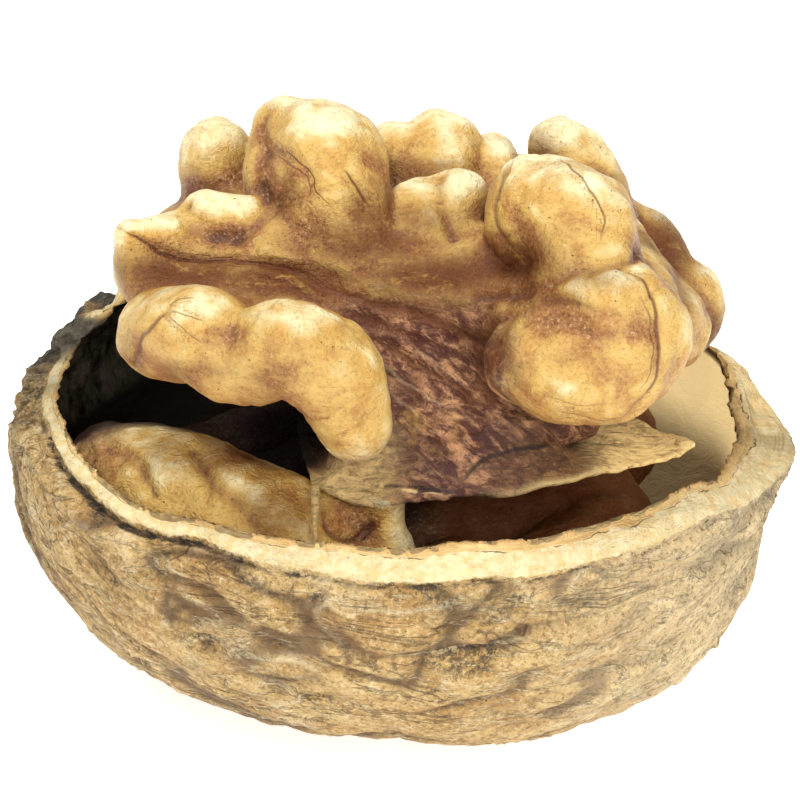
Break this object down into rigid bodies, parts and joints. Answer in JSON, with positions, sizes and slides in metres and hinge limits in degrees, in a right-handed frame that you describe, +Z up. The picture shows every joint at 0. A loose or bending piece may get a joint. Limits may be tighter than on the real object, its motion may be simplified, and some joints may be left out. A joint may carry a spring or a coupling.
{
  "type": "walnut in half shell",
  "caption": "Cracked walnut: a grooved woody half shell with a pointed tip, holding its lobed kernel, which stands proud of the broken rim.",
  "frame": {"origin": "centre of the bounding box's base, on the surface that the shell rests on", "axes": "+X along the nut's long axis, towards the shell's pointed tip; +Z up, out of the open half shell; -Y faces the side of the kernel with its deep cleft"},
  "size_m": [0.0429, 0.0331, 0.0344],
  "materials": {
    "shell": "matte, fibrous, with dark blotches in its grooves",
    "kernel": "thin waxy skin with a satin sheen",
    "partition": "matte, papery"
  },
  "bodies": {
    "root": {"shell_half": "shell", "kernel_lower": "kernel", "kernel_upper": "kernel", "partition": "partition"}
  },
  "joints": []
}
